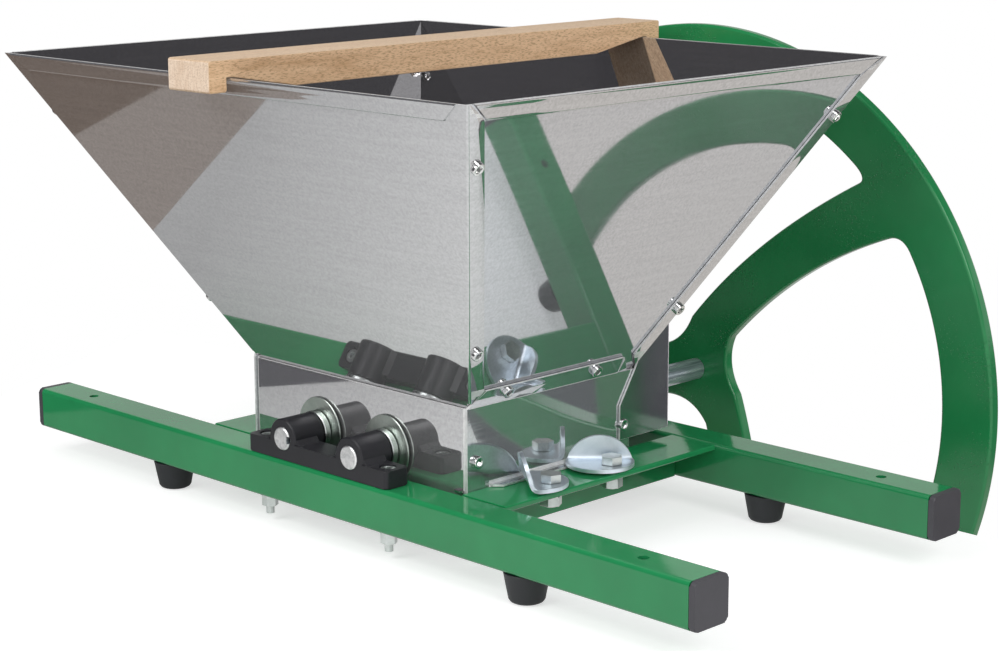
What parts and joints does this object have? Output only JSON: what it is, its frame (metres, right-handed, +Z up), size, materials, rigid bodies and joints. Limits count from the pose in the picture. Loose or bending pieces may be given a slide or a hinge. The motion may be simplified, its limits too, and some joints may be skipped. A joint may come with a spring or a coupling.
{
  "type": "apple scratter",
  "caption": "Hand-cranked fruit mill: sheet-steel hopper over toothed rollers, a green tube frame on rubber feet and a curved-spoke flywheel with a turning grip.",
  "frame": {"origin": "under the middle of the two rails, on the plane that the feet stand on", "axes": "+X along the rails towards the end with the clamp plates, +Y from the near rail to the flywheel, +Z up"},
  "size_m": [0.6556, 0.5774, 0.5264],
  "materials": {
    "green_paint": "gloss green paint",
    "wheel_paint": "fine textured green paint",
    "black_plastic": "moulded black plastic",
    "black_rubber": "matt rubber",
    "stainless": "polished stainless sheet",
    "zinc": "bright zinc plate",
    "shaft_steel": "bright turned steel",
    "roller_iron": "cast, toothed",
    "gear_iron": "cut teeth",
    "grip_plastic": "smooth black plastic",
    "beech": "bare planed wood"
  },
  "bodies": {
    "frame": {"near_rail": "green_paint", "far_rail": "green_paint", "near_left_end_cap": "black_plastic", "near_right_end_cap": "black_plastic", "far_left_end_cap": "black_plastic", "far_right_end_cap": "black_plastic", "near_left_foot": "black_rubber", "near_right_foot": "black_rubber", "far_left_foot": "black_rubber", "far_right_foot": "black_rubber", "left_cross_angle": "green_paint", "right_cross_angle": "green_paint", "near_bearing_block": "black_plastic", "far_bearing_block": "black_plastic", "near_left_block_bolt": "zinc", "near_left_block_nut": "zinc", "near_right_block_bolt": "zinc", "near_right_block_nut": "zinc", "far_left_block_bolt": "zinc", "far_left_block_nut": "zinc", "far_right_block_bolt": "zinc", "far_right_block_nut": "zinc", "hopper_front_panel": "stainless", "hopper_back_panel": "stainless", "hopper_left_panel": "stainless", "hopper_right_panel": "stainless", "box_front_wall": "stainless", "box_back_wall": "stainless", "box_left_wall": "stainless", "box_right_wall": "stainless", "gear_cover": "stainless", "near_clamp_bolt": "zinc", "near_clamp_nut": "zinc", "near_clamp_plate": "zinc", "far_clamp_bolt": "zinc", "far_clamp_nut": "zinc", "far_clamp_plate": "zinc"},
    "drive": {"drive_shaft": "shaft_steel", "drive_near_collar": "zinc", "drive_near_washer": "zinc", "drive_far_collar": "zinc", "drive_roller": "roller_iron", "drive_gear": "gear_iron", "flywheel": "wheel_paint", "hub_screw": "zinc", "crank_pin": "zinc", "crank_nut": "zinc"},
    "driven": {"driven_shaft": "shaft_steel", "driven_near_collar": "zinc", "driven_near_washer": "zinc", "driven_far_collar": "zinc", "driven_roller": "roller_iron", "driven_gear": "gear_iron"},
    "grip": {"crank_grip": "grip_plastic"},
    "bar": {"wooden_bar": "beech"}
  },
  "joints": [
    {"name": "drive_spin", "type": "hinge", "parent": "frame", "child": "drive", "pos_m": [0.0315, 0, 0.065], "axis": [0, 1, 0], "continuous": true},
    {"name": "driven_spin", "type": "hinge", "parent": "frame", "child": "driven", "pos_m": [-0.0365, 0, 0.065], "axis": [0, 1, 0], "continuous": true},
    {"name": "grip_spin", "type": "hinge", "parent": "drive", "child": "grip", "pos_m": [0.07729, 0.285, -0.17059], "axis": [0, 1, 0], "continuous": true},
    {"name": "bar_lift", "type": "slide", "parent": "frame", "child": "bar", "axis": [0, 0, 1], "range_m": [0, 0.08]}
  ],
  "couplings": [
    {"joint": "driven_spin", "follows": "drive_spin", "ratio": -1}
  ]
}
